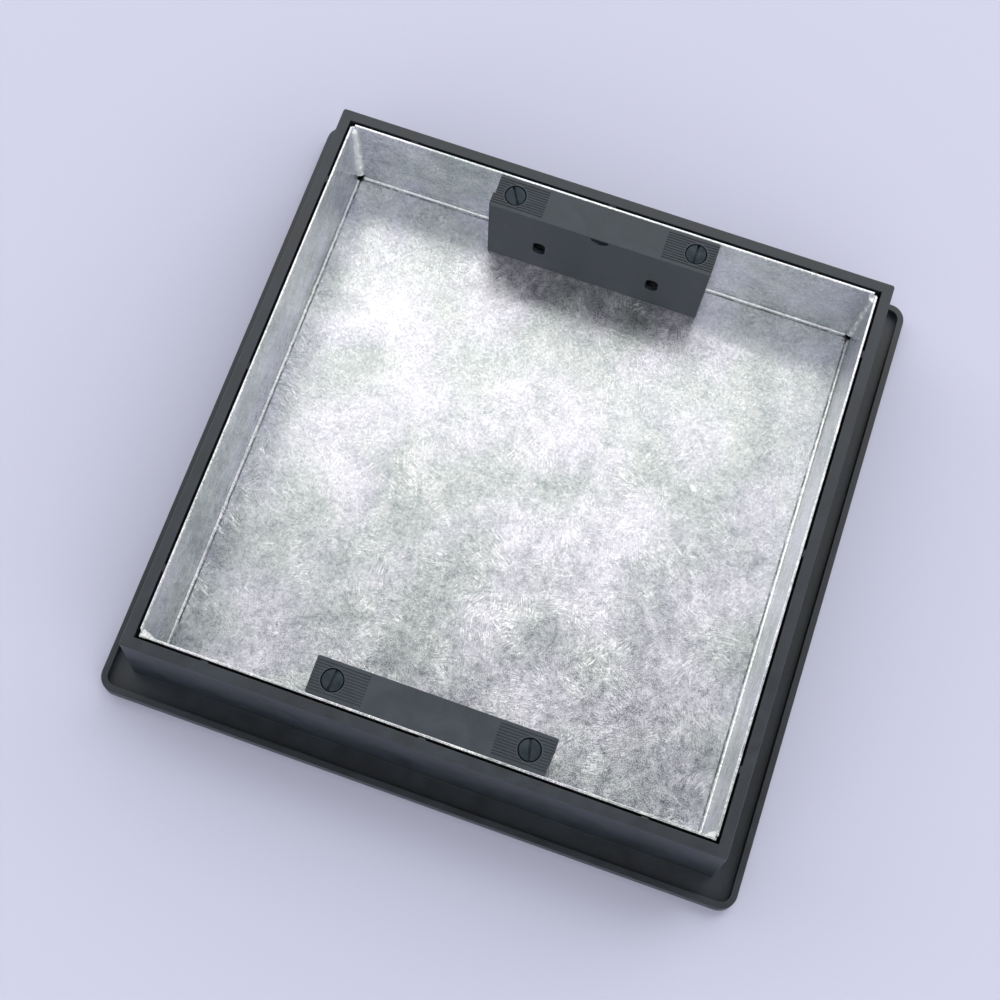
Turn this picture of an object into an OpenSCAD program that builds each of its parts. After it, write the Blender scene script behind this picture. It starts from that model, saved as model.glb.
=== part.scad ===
// Recessed access cover: a moulded frame, a folded steel tray that holds paving, and two lockable
// key blocks. Millimetres, +Z up. The origin is the centre of the frame's underside, +Y is the
// far side and +X the right side.

/* [Tray] */
// Width of the square tray across its rim
tray_w = 335; // [270:1:450]
// Depth of the paving recess, from the rim down to the tray floor
recess_depth = 69; // [55:1:100]
// Thickness of the galvanised sheet
sheet_t = 1.5; // [1:0.1:2.5]
// Inside radius of the folds between the floor and the walls
fold_r = 1.5; // [1:0.1:3]
// Radius of the weld bead that fills each upright corner
weld_r = 2.4; // [1.5:0.1:3.5]
// Size of the open notch at three of the rim corners
rim_notch = 2.3; // [1:0.1:4]
// Leg of the wider cut across the near left rim corner
rim_clip = 4; // [2.5:0.1:6]
// Diameter of the relief hole where the folds meet in a corner
relief_d = 4; // [2:0.5:5]

/* [Frame] */
// Gap between the tray and the frame walls
tray_gap = 1.5; // [1.3:0.1:3]
// Thickness of the frame wall at its top edge
wall_top_t = 6.5; // [5.5:0.1:12]
// Draft on the outside of the frame wall, in degrees
wall_draft = 3.2; // [1:0.1:6]
// How far the flange stands out beyond the foot of the wall
flange_reach = 16; // [12:0.5:40]
// Thickness of the flange floor
flange_t = 5.3; // [3:0.1:8]
// Width of the raised lip round the flange
lip_w = 3.9; // [2:0.1:6]
// Height of the lip above the flange floor
lip_h = 5.4; // [2:0.1:10]
// Corner radius of the flange
flange_r = 10; // [6:0.5:20]
// How far the ledge under the tray reaches in from the tray's side
ledge_reach = 17.5; // [14:0.5:30]
// Thickness of the ledge
ledge_t = 7; // [6:0.1:12]
// Width of the spacer ribs that keep the tray central
spacer_w = 4.4; // [2:0.1:8]
// Distance of the outer spacer ribs from the tray's corner
spacer_inset = 40.2; // [20:0.1:60]
// Clearance between a spacer rib and the tray
spacer_clear = 0.3; // [0.2:0.05:0.8]

/* [Frame cores] */
// Spacing of the cored pockets in the underside of the walls
core_pitch = 31; // [20:1:60]
// Thickness of the webs between the pockets
core_web = 3; // [2:0.5:6]
// Width of a pocket
core_w = 3.6; // [2.5:0.1:4]
// Plastic left between a pocket and the frame's well
core_skin = 1.5; // [1.2:0.1:1.8]
// Solid height left above the pockets
core_cap = 14; // [8:1:30]

/* [Seal] */
// Width of the seal strip
seal_w = 6.2; // [3:0.1:6.5]
// Thickness of the seal strip
seal_t = 2.5; // [1:0.1:5]
// Distance of the seal's outer edge from the frame wall
seal_clear = 2.4; // [1:0.1:4]

/* [Key blocks] */
// Length of a key block
block_l = 139; // [110:1:180]
// Depth of a key block, from the tray wall to its front face
block_d = 21.8; // [20:0.1:30]
// Wall thickness of a key block
block_wall = 2.6; // [2:0.1:3]
// Thickness of the block's top plate
block_top = 4; // [3:0.1:6]
// Radius of the block's upright corners
block_r = 1.2; // [0.5:0.1:2]
// Thickness of the cross webs inside the block
web_t = 2; // [1.5:0.1:4]
// Distance of each cross web from the middle of the block
web_x = 20; // [10:0.5:26]
// Length of the smooth panel in the middle of the top
panel_l = 75.4; // [50:0.1:84]
// Spacing of the grip grooves at both ends of the top
groove_pitch = 1.68; // [1.4:0.02:3]
// Depth of the grip grooves
groove_deep = 0.5; // [0.2:0.1:1]
// Width of the smooth rim between the grooves and a screw's counterbore
collar_w = 0.5; // [0.3:0.1:1.5]
// Thickness of the boss wall round a counterbore
boss_wall = 1.8; // [1.2:0.1:3]
// Length of the bosses that hang from the top plate
boss_len = 20; // [14:0.5:26]
// How far the key nub stands out of one end
nub_t = 1.2; // [0.5:0.1:2]
// Width of the key nub
nub_w = 9; // [4:0.1:12]
// Width of a rivet port in the front face
port_w = 8; // [7:0.1:10]
// Height of a rivet port
port_h = 15; // [10:0.1:20]
// Distance of a port from the middle of the block
port_x = 36.9; // [30:0.1:42]
// Depth of the ports' centres below the rim
port_drop = 41; // [34:0.1:44]
// Width of the half round notch under the front edge
notch_w = 11.4; // [8:0.1:16]

/* [Locking screws] */
// Thread diameter of a locking screw
screw_d = 6; // [5:0.5:6]
// Distance of a screw from the end of its block
screw_inset = 12.3; // [11:0.1:20]
// Diameter of the slotted head
head_d = 12.4; // [10.5:0.1:12.6]
// Height of the head
head_t = 3.2; // [2.4:0.1:4]
// Depth of the head's top below the rim
head_sink = 0.2; // [0:0.1:0.4]
// Width of the slot
slot_w = 1.4; // [1:0.1:2]
// Depth of the slot
slot_deep = 1.6; // [1:0.1:2]
// Play between the head and its counterbore, all round
head_play = 0.5; // [0.2:0.05:0.6]
// Play between the shank and the holes it passes, all round
shank_play = 0.4; // [0.2:0.05:0.5]
// Play between the shank and the threaded insert, all round
thread_play = 0.05; // [0.01:0.01:0.1]
// Height of the screw's tip above the frame's underside
tip_lift = 0.6; // [0.3:0.1:1]
// How far a screw rises when it is fully loosened
loose_travel = 6; // [4:0.5:8]

/* [Small hardware] */
// Outer diameter of the washer under a screw head
washer_d = 11.6; // [9:0.1:12]
// Thickness of the washer
washer_t = 1.2; // [0.8:0.1:2]
// Section diameter of the O-ring under the washer
oring_d = 1.8; // [1:0.1:2]
// Outer diameter of the retaining clip on the shank
clip_d = 10.4; // [9:0.1:12]
// Thickness of the retaining clip
clip_t = 1; // [0.6:0.1:1.6]
// Body diameter of a threaded insert
insert_d = 9; // [8:0.1:9.2]
// Diameter of the insert's flange
insert_flange_d = 12; // [10.5:0.1:12.4]
// Thickness of the insert's flange
insert_flange_t = 1.2; // [0.8:0.1:2]
// Shank diameter of a rivet
rivet_d = 3.2; // [2.4:0.1:4]
// Diameter of the rivet's head
rivet_head_d = 6.4; // [5:0.1:8]
// Height of the rivet's head
rivet_head_t = 0.9; // [0.5:0.1:1]
// Diameter of the rivet's closed end
rivet_tail_d = 5.2; // [4.4:0.1:6]
// Length of the rivet's closed end
rivet_tail_l = 5; // [3:0.1:7]

/* [Hidden] */
$fn = 72;

// overlap that lets a cut pass cleanly through a face
eps = 1;
// clearance of parts that are pressed or pushed together
snug = 0.02;
// depth of the insert's flange above the frame's underside
insert_lift = 0.3;
// room between a fully loosened clip and the boss that stops it
clip_room = 0.5;

// heights, from the underside up
tray_z = ledge_t + seal_t;
floor_z = tray_z + sheet_t;
rim_z = floor_z + recess_depth;

// widths
inner_w = tray_w - 2 * sheet_t;
well_w = tray_w + 2 * tray_gap;
wall_foot_w = well_w + 2 * wall_top_t + 2 * rim_z * tan(wall_draft);
flange_w = wall_foot_w + 2 * flange_reach;
opening_d = tray_w - 2 * ledge_reach;

// places of the four screws and rivets, in plan
screw_x = block_l / 2 - screw_inset;
screw_y = inner_w / 2 - block_d / 2;
far_left = [-1, 1];
far_right = [1, 1];
near_left = [-1, -1];
near_right = [1, -1];
corners = [far_left, far_right, near_left, near_right];

// heights of what is stacked under a screw head
head_top_z = rim_z - head_sink;
head_z = head_top_z - head_t;
washer_z = head_z - washer_t;
seat_z = washer_z - oring_d;
clip_z = rim_z - boss_len - clip_room - loose_travel - clip_t;
counterbore_d = head_d + 2 * head_play;
boss_d = counterbore_d + 2 * boss_wall;
bore_r = screw_d / 2 + shank_play;
rivet_z = rim_z - port_drop;

// a box centred in plan that stands on z = 0
module post(w, d, h) {
    translate([-w / 2, -d / 2, 0]) cube([w, d, h]);
}

// the same with round upright corners
module rounded_post(w, d, h, r) {
    post(w - 2 * r, d, h);
    post(w, d - 2 * r, h);
    for (x = [-1, 1], y = [-1, 1])
        translate([x * (w / 2 - r), y * (d / 2 - r), 0]) cylinder(r = r, h = h);
}

// a square block whose four sides lean in by the draft angle
module drafted_post(w, h, draft) {
    difference() {
        post(w, w, h);
        for (a = [0:90:270])
            rotate(a) translate([w / 2, 0, 0]) rotate([0, -draft, 0])
                translate([0, -w, -h]) cube([w, 2 * w, 3 * h]);
    }
}

// repeats its children on the four sides of the square
module each_side() {
    for (a = [0:90:270]) rotate(a) children();
}

// puts its children at one screw's axis
module at_screw(corner) {
    translate([corner[0] * screw_x, corner[1] * screw_y, 0]) children();
}

// puts its children at all four screws
module at_screws() {
    for (c = corners) at_screw(c) children();
}

// puts its children at one rivet, with +Z pointing from the tray wall towards the tray's middle
module at_rivet(corner) {
    translate([corner[0] * port_x, corner[1] * tray_w / 2, rivet_z])
        rotate([corner[1] * 90, 0, 0]) children();
}

// cored pockets along one wall, open at the underside
module wall_cores() {
    count = floor(tray_w / core_pitch);
    x = well_w / 2 + core_skin;
    for (i = [0:count - 1])
        translate([x, (i - count / 2) * core_pitch + core_web / 2, -eps])
            cube([core_w, core_pitch - core_web, rim_z - core_cap + eps]);
}

// three spacer ribs on one wall
module spacer_ribs() {
    offset = tray_w / 2 - spacer_inset;
    reach = tray_gap - spacer_clear;
    for (y = [-offset, 0, offset])
        translate([well_w / 2 - reach, y - spacer_w / 2, ledge_t])
            cube([reach + eps, spacer_w, recess_depth + sheet_t + seal_t]);
}

module frame() {
    color("#2f343d") {
        difference() {
            union() {
                difference() {
                    rounded_post(flange_w, flange_w, flange_t + lip_h, flange_r);
                    translate([0, 0, flange_t])
                        rounded_post(flange_w - 2 * lip_w, flange_w - 2 * lip_w, lip_h + eps,
                                     flange_r - lip_w);
                }
                drafted_post(wall_foot_w, rim_z, wall_draft);
            }
            translate([0, 0, ledge_t]) post(well_w, well_w, rim_z);
            translate([0, 0, -eps]) cylinder(d = opening_d, h = ledge_t + 2 * eps, $fn = 180);
            each_side() wall_cores();
            at_screws() insert_seat();
        }
        each_side() spacer_ribs();
    }
}

// the stepped hole in the ledge that takes a threaded insert from below
module insert_seat() {
    translate([0, 0, -eps]) cylinder(d = insert_d + 2 * snug, h = ledge_t + 2 * eps);
    translate([0, 0, -eps])
        cylinder(d = insert_flange_d + 2 * shank_play, h = insert_lift + insert_flange_t + eps);
}

module seal() {
    outer = well_w - 2 * seal_clear;
    inner = outer - 2 * seal_w;
    color("#1c1d20") translate([0, 0, ledge_t]) difference() {
        rounded_post(outer, outer, seal_t, seal_w);
        translate([0, 0, -eps]) rounded_post(inner, inner, seal_t + 2 * eps, seal_w / 2);
    }
}

// a strip section with round lower corners
module pan_section(w, h, r) {
    translate([-w / 2, r]) square([w, h - r]);
    translate([r - w / 2, 0]) square([w - 2 * r, h]);
    for (x = [-1, 1]) translate([x * (w / 2 - r), r]) circle(r);
}

// a square pan shape whose four bottom edges are round
module pan(w, h, r) {
    intersection() {
        rotate([90, 0, 0]) linear_extrude(w, center = true) pan_section(w, h, r);
        rotate([90, 0, 90]) linear_extrude(w, center = true) pan_section(w, h, r);
    }
}

// the hollow of the tray, with the weld beads left standing in its corners
module tray_hollow() {
    weld_foot = relief_d;
    weld_drop = rim_notch + 1;
    difference() {
        pan(inner_w, recess_depth + eps, fold_r);
        for (c = corners)
            translate([c[0] * inner_w / 2, c[1] * inner_w / 2, weld_foot])
                cylinder(r = weld_r, h = recess_depth - weld_foot - weld_drop);
    }
}

// the cut that opens one rim corner
module rim_cut(corner) {
    leg = corner == near_left ? rim_clip : rim_notch;
    depth = rim_notch + 1;
    translate([corner[0] * tray_w / 2, corner[1] * tray_w / 2, rim_z - depth])
        rotate(corner == near_left ? 45 : 0)
            post(corner == near_left ? leg * sqrt(2) : 2 * leg,
                 corner == near_left ? leg * sqrt(2) : 2 * leg, depth + eps);
}

// the relief hole through one bottom corner, along the corner's diagonal
module relief_hole(corner) {
    tilt = acos(1 / sqrt(3));
    turn = atan2(corner[1], corner[0]);
    translate([corner[0] * inner_w / 2, corner[1] * inner_w / 2, floor_z])
        rotate([0, 0, turn]) rotate([0, 180 - tilt, 0])
            cylinder(d = relief_d, h = 6 * sheet_t, center = true);
}

module tray() {
    color("#c6ccd1") difference() {
        translate([0, 0, tray_z]) pan(tray_w, sheet_t + recess_depth, fold_r + sheet_t);
        translate([0, 0, floor_z]) tray_hollow();
        for (c = corners) {
            rim_cut(c);
            relief_hole(c);
            at_rivet(c) translate([0, 0, -eps])
                cylinder(d = rivet_d + 2 * snug, h = sheet_t + 2 * eps);
        }
        at_screws() translate([0, 0, tray_z - eps]) cylinder(r = bore_r, h = sheet_t + 2 * eps);
    }
}

// grip grooves along one end of the block's top, clear of the collar round the screw
module grip_grooves() {
    count = floor((block_d - groove_pitch) / groove_pitch);
    groove_l = (block_l - panel_l) / 2;
    difference() {
        for (i = [0:count - 1])
            translate([panel_l / 2, (i - (count - 1) / 2) * groove_pitch - groove_pitch / 4,
                       recess_depth - groove_deep])
                cube([groove_l + nub_t + eps, groove_pitch / 2, groove_deep + eps]);
        translate([screw_x, 0, recess_depth - eps]) cylinder(d = counterbore_d + 2 * collar_w, h = 3 * eps);
    }
}

// an opening with round ends through the block's front wall
module port() {
    reach = block_wall + 2 * eps;
    straight = port_h - port_w;
    translate([-port_w / 2, 0, -straight / 2]) cube([port_w, reach, straight]);
    for (z = [-1, 1])
        translate([0, 0, z * straight / 2]) rotate([-90, 0, 0]) cylinder(d = port_w, h = reach);
}

// the block's inner hollow, open below, with its screw bosses and webs left standing
module block_hollow() {
    difference() {
        translate([0, 0, -eps])
            post(block_l - 2 * block_wall, block_d - 2 * block_wall,
                 recess_depth - block_top + eps);
        for (x = [-1, 1]) {
            translate([x * screw_x, 0, recess_depth - boss_len])
                cylinder(d = boss_d, h = boss_len);
            translate([x * web_x, 0, 0]) post(web_t, block_d, recess_depth);
        }
    }
}

// one key block on the tray floor, with its front towards +Y
module key_block() {
    front_y = block_d / 2;
    fold_leg = fold_r + 0.3;
    difference() {
        union() {
            rounded_post(block_l, block_d, recess_depth, block_r);
            translate([block_l / 2 - block_r - eps, front_y - nub_w, 0])
                cube([block_r + eps + nub_t, nub_w - block_r, recess_depth]);
        }
        block_hollow();
        for (a = [0, 180]) rotate(a) grip_grooves();
        for (x = [-1, 1]) {
            translate([x * screw_x, 0, seat_z - floor_z])
                cylinder(d = counterbore_d, h = recess_depth);
            translate([x * screw_x, 0, -eps]) cylinder(r = bore_r, h = recess_depth);
            translate([x * port_x, front_y - block_wall - eps, recess_depth - port_drop]) port();
            translate([x * port_x, -front_y - eps, recess_depth - port_drop]) rotate([-90, 0, 0])
                cylinder(d = rivet_d + 2 * snug, h = block_wall + 2 * eps);
        }
        front_notch();
        translate([0, -front_y, 0]) rotate([45, 0, 0])
            cube([2 * block_l, fold_leg * sqrt(2), fold_leg * sqrt(2)], center = true);
    }
}

// half round notch under a thin skin at the top of the front face
module front_notch() {
    skin = 1;
    intersection() {
        translate([0, block_d / 2 - block_wall - eps, recess_depth - skin])
            rotate([-90, 0, 0]) cylinder(d = notch_w, h = block_wall + 2 * eps);
        translate([0, 0, -skin]) post(block_l, 2 * block_d, recess_depth);
    }
}

module key_block_near() {
    color("#4a515d") translate([0, -screw_y, floor_z]) key_block();
}

module key_block_far() {
    color("#4a515d") rotate(180) translate([0, -screw_y, floor_z]) key_block();
}

// a slotted screw, its slot turned from the Y direction by the given angle
module lock_screw(corner, slot_angle) {
    edge = 0.5;
    r = screw_d / 2;
    head_r = head_d / 2;
    color("#59616b") at_screw(corner) difference() {
        rotate_extrude() polygon([
            [0, tip_lift], [r - edge, tip_lift], [r, tip_lift + edge], [r, head_z], [head_r, head_z],
            [head_r, head_top_z - edge], [head_r - edge, head_top_z], [0, head_top_z]
        ]);
        translate([0, 0, head_top_z - slot_deep]) rotate(slot_angle)
            post(slot_w, head_d + eps, slot_deep + eps);
    }
}

module screw_washer(corner) {
    color("#9aa0a6") at_screw(corner) translate([0, 0, washer_z]) difference() {
        cylinder(d = washer_d, h = washer_t);
        translate([0, 0, -eps]) cylinder(r = screw_d / 2 + 0.2, h = washer_t + 2 * eps);
    }
}

module o_ring(corner) {
    color("#1c1d20") at_screw(corner) translate([0, 0, seat_z + oring_d / 2])
        rotate_extrude() translate([screw_d / 2 + snug + oring_d / 2, 0]) circle(d = oring_d);
}

module retaining_clip(corner) {
    color("#9aa0a6") at_screw(corner) translate([0, 0, clip_z]) difference() {
        cylinder(d = clip_d, h = clip_t);
        translate([0, 0, -eps]) cylinder(r = screw_d / 2 + snug, h = clip_t + 2 * eps);
    }
}

module thread_insert(corner) {
    color("#b08d3e") at_screw(corner) difference() {
        union() {
            translate([0, 0, insert_lift]) cylinder(d = insert_flange_d, h = insert_flange_t);
            translate([0, 0, insert_lift]) cylinder(d = insert_d, h = ledge_t - insert_lift);
        }
        cylinder(r = screw_d / 2 + thread_play, h = ledge_t + eps);
    }
}

// a blind rivet through the tray wall and the block's back wall
module rivet(corner) {
    grip = sheet_t + block_wall;
    color("#aeb3b8") at_rivet(corner) {
        translate([0, 0, -rivet_head_t]) cylinder(d = rivet_head_d, h = rivet_head_t);
        cylinder(d = rivet_d, h = grip + rivet_tail_l);
        translate([0, 0, grip]) cylinder(d = rivet_tail_d, h = rivet_tail_l);
    }
}

frame();
seal();
tray();
key_block_far();
key_block_near();
lock_screw(far_left, 30);  // lock_screw_far_left
lock_screw(far_right, 0);  // lock_screw_far_right
lock_screw(near_left, -6);  // lock_screw_near_left
lock_screw(near_right, 13);  // lock_screw_near_right
screw_washer(far_left);  // screw_washer_far_left
screw_washer(far_right);  // screw_washer_far_right
screw_washer(near_left);  // screw_washer_near_left
screw_washer(near_right);  // screw_washer_near_right
o_ring(far_left);  // o_ring_far_left
o_ring(far_right);  // o_ring_far_right
o_ring(near_left);  // o_ring_near_left
o_ring(near_right);  // o_ring_near_right
retaining_clip(far_left);  // retaining_clip_far_left
retaining_clip(far_right);  // retaining_clip_far_right
retaining_clip(near_left);  // retaining_clip_near_left
retaining_clip(near_right);  // retaining_clip_near_right
thread_insert(far_left);  // thread_insert_far_left
thread_insert(far_right);  // thread_insert_far_right
thread_insert(near_left);  // thread_insert_near_left
thread_insert(near_right);  // thread_insert_near_right
rivet(far_left);  // rivet_far_left
rivet(far_right);  // rivet_far_right
rivet(near_left);  // rivet_near_left
rivet(near_right);  // rivet_near_right
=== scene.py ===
"""Recessed access cover: the looks of its moulded frame, folded steel tray and locking blocks.

Everything is in metres in the part's own frame: +Z up, +Y the far side, +X the right side.
"""
import math

import bmesh
import bpy
from mathutils import Matrix, Vector


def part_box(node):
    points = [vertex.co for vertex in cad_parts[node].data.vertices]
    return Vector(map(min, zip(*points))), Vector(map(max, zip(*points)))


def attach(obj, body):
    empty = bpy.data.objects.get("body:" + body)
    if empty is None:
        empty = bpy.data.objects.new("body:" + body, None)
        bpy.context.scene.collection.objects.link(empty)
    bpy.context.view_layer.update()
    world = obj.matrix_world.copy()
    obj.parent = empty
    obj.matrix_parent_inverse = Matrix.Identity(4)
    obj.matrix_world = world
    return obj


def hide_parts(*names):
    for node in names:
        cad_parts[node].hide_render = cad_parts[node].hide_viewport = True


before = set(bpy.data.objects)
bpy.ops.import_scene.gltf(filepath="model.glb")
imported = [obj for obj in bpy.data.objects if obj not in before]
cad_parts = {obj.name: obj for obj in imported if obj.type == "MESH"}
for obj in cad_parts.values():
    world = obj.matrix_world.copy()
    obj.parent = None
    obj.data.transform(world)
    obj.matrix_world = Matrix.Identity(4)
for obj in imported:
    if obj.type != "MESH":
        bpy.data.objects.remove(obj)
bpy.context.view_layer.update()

MM = 0.001

# Where the CAD pieces lie
FRAME_LOW, FRAME_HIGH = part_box("frame")
TRAY_LOW, TRAY_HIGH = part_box("tray")
BLOCK_LOW, BLOCK_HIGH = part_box("key_block_near")

# The four corners by their signs along X and Y
CORNERS = {"far_left": (-1, 1), "far_right": (1, 1), "near_left": (-1, -1), "near_right": (1, -1)}

# Frame moulding
RIM_Z = FRAME_HIGH.z
LEDGE_T = 7 * MM
FLANGE_T = 5.3 * MM
LIP_H = 5.4 * MM
LIP_W = 3.9 * MM
FLANGE_R = 10 * MM
FLANGE_DRAFT = 0.5 * MM
TRAY_GAP = 1.5 * MM
WALL_TOP_T = 6.5 * MM
WALL_DRAFT = math.radians(3.2)
WALL_START = 2 * MM
WALL_CORNER_R = 1.5 * MM
WALL_EDGE_R = 0.8 * MM
LEDGE_W = 17.5 * MM
WELL_HALF = TRAY_HIGH.x + TRAY_GAP
WALL_TOP_HALF = WELL_HALF + WALL_TOP_T
WALL_FOOT_HALF = WALL_TOP_HALF + (RIM_Z - WALL_START) * math.tan(WALL_DRAFT)
OPENING_R = TRAY_HIGH.x - LEDGE_W
CORE_PITCH = 31 * MM
CORE_WEB = 3 * MM
CORE_W = 3.6 * MM
CORE_SKIN = 1.5 * MM
CORE_TOP = RIM_Z - 14 * MM
SPACER_W = 4.4 * MM
SPACER_REACH = 1.2 * MM
SPACER_DROP = 0.6 * MM
SPACER_LEAD_IN = 0.9 * MM
SPACER_PLACES = (-127.3 * MM, 0, 127.3 * MM)
FRAME_EDGE = 0.3 * MM

# Folded tray
SHEET_T = 1.5 * MM
FOLD_R = 3 * MM
FLOOR_Z = TRAY_LOW.z + SHEET_T
INNER_HALF = TRAY_HIGH.x - SHEET_T
RIM_NOTCH = 2.3 * MM
RIM_CLIP = 4 * MM
NOTCH_DEEP = 3.3 * MM
RELIEF_R = 2.3 * MM
RELIEF_L = 9 * MM
TRAY_EDGE = 0.4 * MM

# Weld beads in the tray's upright corners
WELD_R = 3.4 * MM
WELD_FOOT_Z = FLOOR_Z + 5 * MM
WELD_TOP_Z = RIM_Z - NOTCH_DEEP - 0.4 * MM
WELD_END_ROUND = 0.7 * MM
WELD_LUMP = 4.5 * MM
WELD_HEIGHT = 2.6 * MM
WELD_BITE = 0.3 * MM
WELD_SAG = 1.5 * MM
WELD_RINGS = 70

# Key block
BLOCK_WALL = 2.6 * MM
BLOCK_TOP_T = 4 * MM
BLOCK_R = 1.2 * MM
BLOCK_FOOT_CUT = 1.8 * MM
BLOCK_EDGE = 0.12 * MM
NUB_T = 1.2 * MM
NUB_W = 9 * MM
PANEL_HALF = 37.7 * MM
GROOVE_PITCH = 1.68 * MM
GROOVE_DEEP = 0.5 * MM
GROOVE_COUNT = 11
COLLAR_R = 7.5 * MM
COUNTERBORE_R = 6.7 * MM
SEAT_Z = 73.6 * MM
BOSS_R = 8.5 * MM
BOSS_LEN = 20 * MM
WEB_X = 20 * MM
WEB_T = 2 * MM
PORT_R = 4 * MM
PORT_H = 15 * MM
PORT_X = 36.9 * MM
PORT_Z = RIM_Z - 41 * MM
NOTCH_R = 5.7 * MM
NOTCH_SKIN = 1 * MM

# Screws and rivets
SHANK_R = 3 * MM
SHANK_HOLE_R = 3.4 * MM
THREAD_ROOT_R = 2.45 * MM
THREAD_PITCH = 1 * MM
THREAD_TURNS = 24
THREAD_HALF = 0.46 * THREAD_PITCH
THREAD_CREST_R = SHANK_R - 0.02 * MM
# the thread's foot sits this deep in the core, and it starts this far above the tip
THREAD_SUNK = 0.25 * MM
THREAD_START = 0.6 * MM
TIP_CHAMFER = 0.5 * MM
HEAD_R = 6.2 * MM
# a hair less than the space over the washer
HEAD_T = 3.19 * MM
HEAD_TOP_R = 0.55 * MM
HEAD_FOOT_R = 0.15 * MM
SLOT_W = 1.4 * MM
SLOT_DEEP = 1.6 * MM
SLOT_EDGE = 0.1 * MM
# how far each slot stands turned from the Y axis, in degrees
SLOT_TURN = {"far_left": 30, "far_right": 0, "near_left": -6, "near_right": 13}
RIVET_R = 1.6 * MM
RIVET_HEAD_R = 3.2 * MM
RIVET_TAIL_R = 2.6 * MM
RIVET_TAIL_L = 5 * MM
RIVET_SHOULDER = 0.2 * MM
RIVET_TAIL_ROUND = 1.2 * MM
RIVET_TAIL_RIM = 0.5 * MM
RIVET_TAIL_HOLLOW = 0.8 * MM
INSERT_R = 4.5 * MM
INSERT_FLANGE_R = 6.4 * MM
INSERT_FLANGE_Z = 1.5 * MM

# A cut reaches this far past the face it opens
PAST = 1 * MM

# What counts as being at a place, and as lying along or across an axis, when picking
CLOSE = 0.1 * MM
ALONG = 0.9
ACROSS = 0.1


# ---------------------------------------------------------------- modelling

def middle_of(node):
    """The middle of a CAD node's box."""
    low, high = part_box(node)
    return (low + high) / 2


def deselect():
    """Leaves nothing selected, so that an operator acts on new geometry only."""
    bpy.ops.object.select_all(action="DESELECT")


def activate(piece):
    """Makes one piece the selected and active one."""
    deselect()
    piece.select_set(True)
    bpy.context.view_layer.objects.active = piece


def settle(piece, name):
    """Names a new object and puts its place, turn and size into its mesh."""
    activate(piece)
    bpy.ops.object.transform_apply(location=True, rotation=True, scale=True)
    piece.name = name
    piece.data.name = name
    return piece


def box(name, low, high):
    """Starts a piece from a box between two corners."""
    deselect()
    low, high = Vector(low), Vector(high)
    bpy.ops.mesh.primitive_cube_add(size=1, location=(low + high) / 2)
    bpy.context.object.scale = high - low
    return settle(bpy.context.object, name)


def bar(name, middle, radius, length, turn=(0, 0, 0), sides=48):
    """Starts a piece from a round bar about its middle, upright unless it is turned."""
    deselect()
    bpy.ops.mesh.primitive_cylinder_add(vertices=sides, radius=radius, depth=length,
                                        location=middle, rotation=turn)
    return settle(bpy.context.object, name)


def twin(piece, name, move=(0, 0, 0), turn=0, tip=0):
    """Copies a piece with a mesh of its own, tipped about X, turned about Z and then moved."""
    copy = piece.copy()
    copy.data = piece.data.copy()
    bpy.context.scene.collection.objects.link(copy)
    copy.rotation_euler = (tip, 0, turn)
    copy.location = move
    return settle(copy, name)


def edit(piece):
    """Opens a piece's mesh for editing."""
    activate(piece)
    bpy.ops.object.mode_set(mode="EDIT")


def leave():
    """Closes the mesh that is being edited."""
    bpy.ops.object.mode_set(mode="OBJECT")


def pick_faces(test):
    """Selects the faces whose middle and normal pass the test."""
    bpy.ops.mesh.select_mode(type="FACE")
    bpy.ops.mesh.select_all(action="DESELECT")
    mesh = bmesh.from_edit_mesh(bpy.context.object.data)
    for face in mesh.faces:
        if test(face.calc_center_median(), face.normal):
            face.select_set(True)
    bmesh.update_edit_mesh(bpy.context.object.data)


def pick_edges(test):
    """Selects the edges whose middle and direction pass the test."""
    bpy.ops.mesh.select_mode(type="EDGE")
    bpy.ops.mesh.select_all(action="DESELECT")
    mesh = bmesh.from_edit_mesh(bpy.context.object.data)
    for edge in mesh.edges:
        a, b = edge.verts[0].co, edge.verts[1].co
        if test((a + b) / 2, (b - a).normalized()):
            edge.select_set(True)
    bmesh.update_edit_mesh(bpy.context.object.data)


def extrude(move):
    """Pulls the selected faces out, or pushes them in."""
    bpy.ops.mesh.extrude_region_move(TRANSFORM_OT_translate={"value": move})


def modify(piece, kind, **settings):
    """Adds a modifier with its settings and applies it."""
    activate(piece)
    modifier = piece.modifiers.new(kind.lower(), kind)
    for key, value in settings.items():
        setattr(modifier, key, value)
    bpy.ops.object.modifier_apply(modifier=modifier.name)


def combine(piece, tools, operation):
    """Unites a piece with other closed shapes, or cuts them away, and removes them."""
    for tool in tools:
        modify(piece, "BOOLEAN", operation=operation, solver="EXACT", object=tool)
        bpy.data.objects.remove(tool)


def join(pieces, name):
    """Makes several separate shapes one object."""
    deselect()
    for piece in pieces:
        piece.select_set(True)
    bpy.context.view_layer.objects.active = pieces[0]
    bpy.ops.object.join()
    return settle(pieces[0], name)


def soften(piece, width, segments=2, angle=35):
    """Rounds every sharp edge a little, as a mould or a shear leaves it."""
    modify(piece, "BEVEL", width=width, segments=segments, limit_method="ANGLE",
           angle_limit=math.radians(angle), use_clamp_overlap=False)
    smooth(piece)
    modify(piece, "WEIGHTED_NORMAL", weight=100, keep_sharp=True)


def smooth(piece, angle=30):
    """Shades a piece smooth except across edges sharper than an angle in degrees."""
    activate(piece)
    bpy.ops.object.shade_smooth_by_angle(angle=math.radians(angle))


# ---------------------------------------------------------------- frame moulding

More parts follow.
